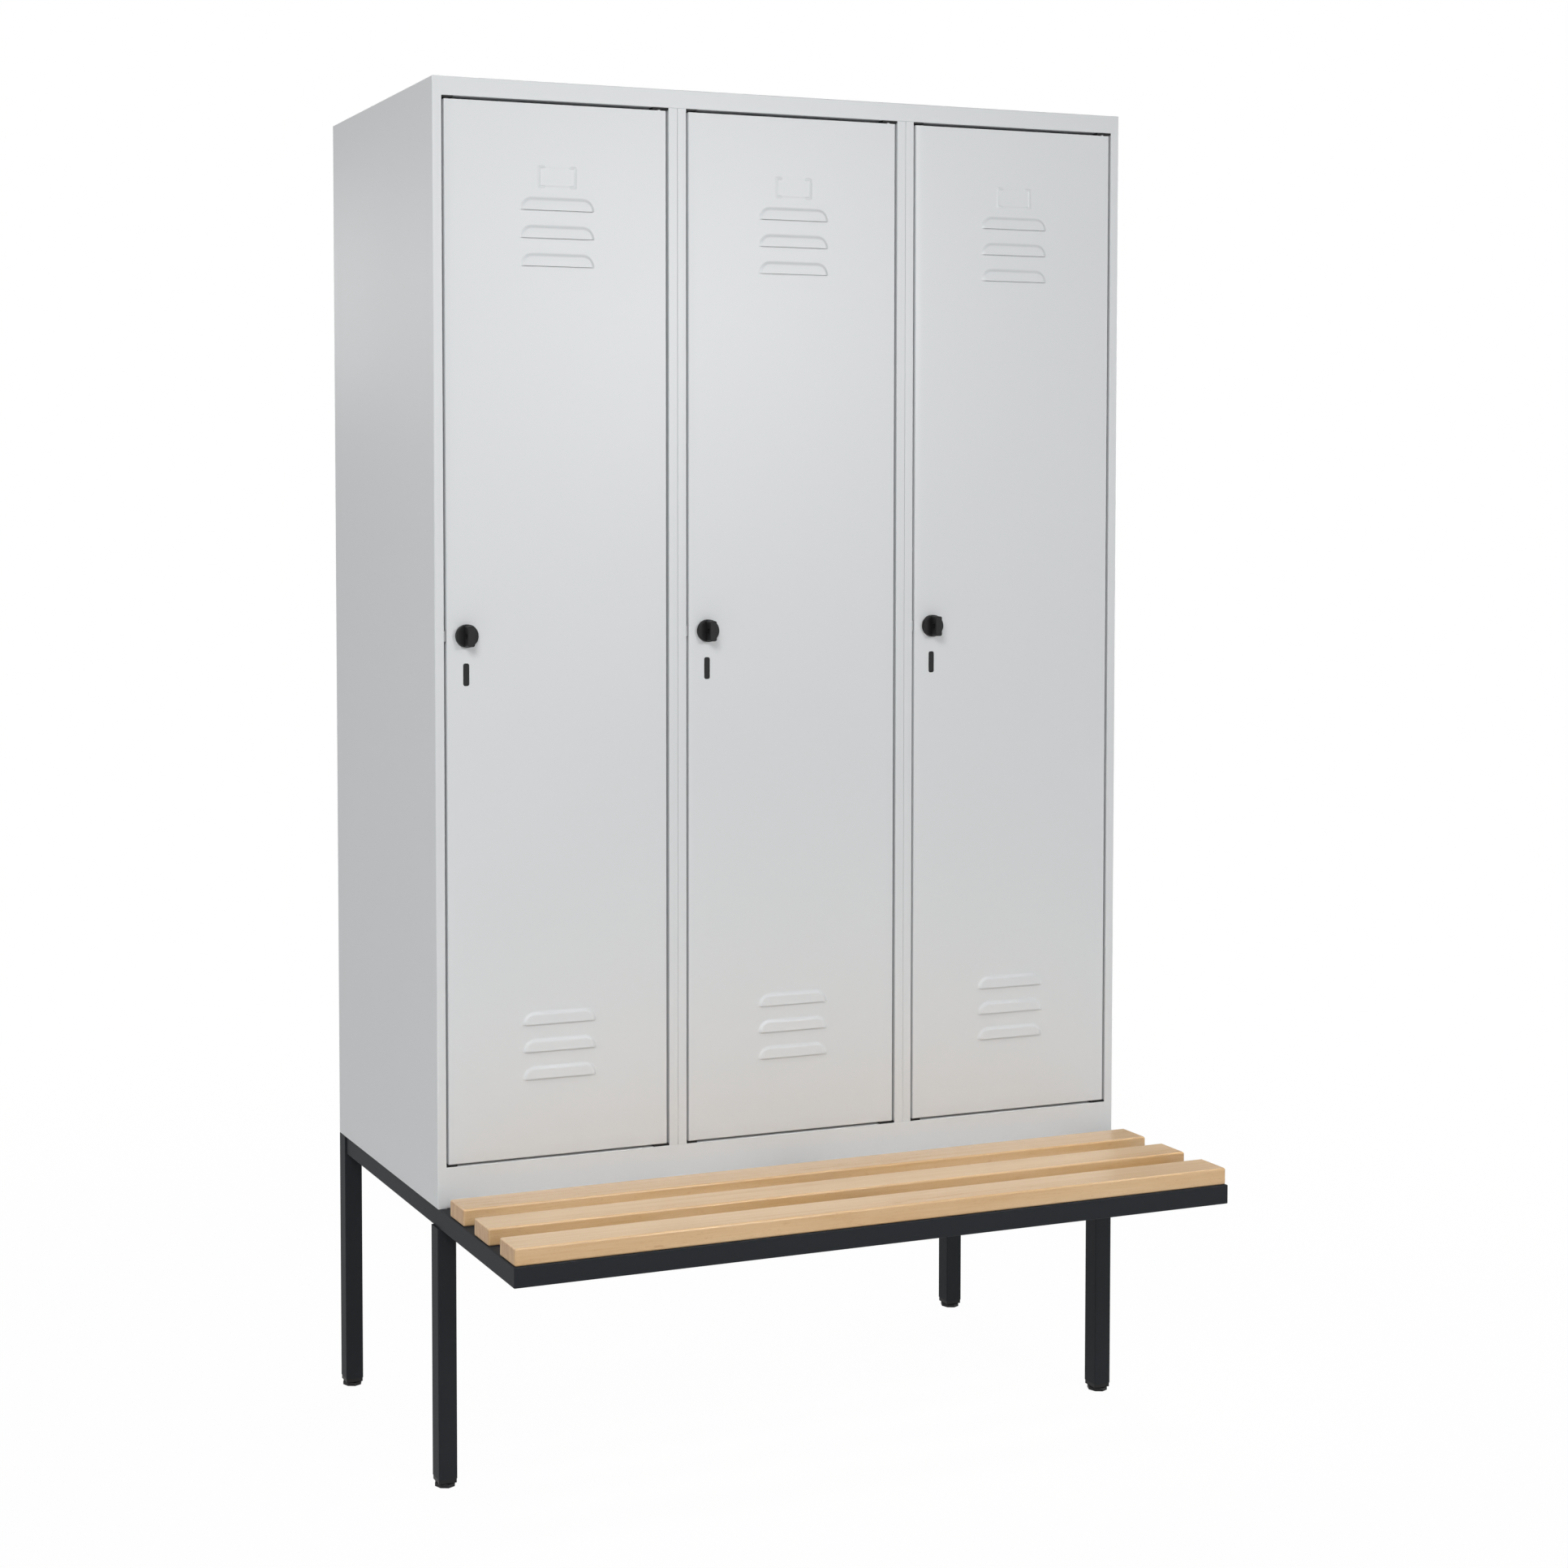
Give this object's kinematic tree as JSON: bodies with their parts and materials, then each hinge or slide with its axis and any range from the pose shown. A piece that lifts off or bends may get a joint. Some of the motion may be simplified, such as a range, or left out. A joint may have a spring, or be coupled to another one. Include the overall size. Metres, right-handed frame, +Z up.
{
  "type": "mudroom locker unit",
  "caption": "Tall steel locker with louvred hinged doors, turn-knob padlock latches, hat shelves and coat rails, on a tube frame that reaches forward under a slatted wooden seat.",
  "frame": {"origin": "on the floor, at the middle of the plan of the cabinet and its seat", "axes": "+X to the right as seen from the seat, +Y to the back, +Z up"},
  "size_m": [1.2028, 0.8114, 2.13],
  "materials": {
    "cabinet_paint": "satin powder coat",
    "frame_paint": "satin powder coat",
    "beech": "clear satin lacquer",
    "black_plastic": "fine matt grain",
    "plated_steel": "zinc plated"
  },
  "bodies": {
    "cabinet_and_bench": {"back_panel": "cabinet_paint", "bench_front_rail": "frame_paint", "cabinet_bolts": "plated_steel", "centre_bearer": "frame_paint", "coat_hooks": "plated_steel", "coat_rail_sockets": "black_plastic", "door_buffers": "black_plastic", "floor_panel": "cabinet_paint", "front_left_leg": "frame_paint", "front_right_leg": "frame_paint", "front_slat": "beech", "hinge_bushes": "black_plastic", "left_coat_rail": "plated_steel", "left_hat_shelf": "cabinet_paint", "left_partition": "cabinet_paint", "left_side_panel": "cabinet_paint", "left_side_rail": "frame_paint", "leg_plugs": "black_plastic", "middle_coat_rail": "plated_steel", "middle_cross_rail": "frame_paint", "middle_hat_shelf": "cabinet_paint", "middle_slat": "beech", "rear_cross_rail": "frame_paint", "rear_left_leg": "frame_paint", "rear_right_leg": "frame_paint", "rear_slat": "beech", "right_coat_rail": "plated_steel", "right_hat_shelf": "cabinet_paint", "right_partition": "cabinet_paint", "right_side_panel": "cabinet_paint", "right_side_rail": "frame_paint", "roof_panel": "cabinet_paint", "slat_screws": "plated_steel", "strike_plates": "plated_steel"},
    "left_door": {"left_door_panel": "cabinet_paint", "left_door_stiffener": "cabinet_paint", "left_hinge_pins": "plated_steel", "left_lock_case": "black_plastic"},
    "left_lock": {"left_knob": "black_plastic", "left_cam": "plated_steel"},
    "middle_door": {"middle_door_panel": "cabinet_paint", "middle_door_stiffener": "cabinet_paint", "middle_hinge_pins": "plated_steel", "middle_lock_case": "black_plastic"},
    "middle_lock": {"middle_knob": "black_plastic", "middle_cam": "plated_steel"},
    "right_door": {"right_door_panel": "cabinet_paint", "right_door_stiffener": "cabinet_paint", "right_hinge_pins": "plated_steel", "right_lock_case": "black_plastic"},
    "right_lock": {"right_knob": "black_plastic", "right_cam": "plated_steel"},
    "front_left_foot_screw": {"front_left_foot": "black_plastic"},
    "front_right_foot_screw": {"front_right_foot": "black_plastic"},
    "rear_left_foot_screw": {"rear_left_foot": "black_plastic"},
    "rear_right_foot_screw": {"rear_right_foot": "black_plastic"}
  },
  "joints": [
    {"name": "left_door_hinge", "type": "hinge", "parent": "cabinet_and_bench", "child": "left_door", "pos_m": [-0.2286, -0.088, 1.297], "axis": [0, 0, 1], "range_deg": [0, 105]},
    {"name": "left_knob_turn", "type": "hinge", "parent": "left_door", "child": "left_lock", "pos_m": [-0.55, -0.095, 1.297], "axis": [0, 1, 0], "range_deg": [0, 90]},
    {"name": "middle_door_hinge", "type": "hinge", "parent": "cabinet_and_bench", "child": "middle_door", "pos_m": [0.1714, -0.088, 1.297], "axis": [0, 0, 1], "range_deg": [0, 105]},
    {"name": "middle_knob_turn", "type": "hinge", "parent": "middle_door", "child": "middle_lock", "pos_m": [-0.15, -0.095, 1.297], "axis": [0, 1, 0], "range_deg": [0, 90]},
    {"name": "right_door_hinge", "type": "hinge", "parent": "cabinet_and_bench", "child": "right_door", "pos_m": [0.5714, -0.088, 1.297], "axis": [0, 0, 1], "range_deg": [0, 105]},
    {"name": "right_knob_turn", "type": "hinge", "parent": "right_door", "child": "right_lock", "pos_m": [0.25, -0.095, 1.297], "axis": [0, 1, 0], "range_deg": [0, 90]},
    {"name": "front_left_foot_turn", "type": "hinge", "parent": "cabinet_and_bench", "child": "front_left_foot_screw", "pos_m": [-0.585, -0.08, 0.0055], "axis": [0, 0, 1], "continuous": true},
    {"name": "front_right_foot_turn", "type": "hinge", "parent": "cabinet_and_bench", "child": "front_right_foot_screw", "pos_m": [0.585, -0.08, 0.0055], "axis": [0, 0, 1], "continuous": true},
    {"name": "rear_left_foot_turn", "type": "hinge", "parent": "cabinet_and_bench", "child": "rear_left_foot_screw", "pos_m": [-0.585, 0.39, 0.0055], "axis": [0, 0, 1], "continuous": true},
    {"name": "rear_right_foot_turn", "type": "hinge", "parent": "cabinet_and_bench", "child": "rear_right_foot_screw", "pos_m": [0.585, 0.39, 0.0055], "axis": [0, 0, 1], "continuous": true}
  ]
}
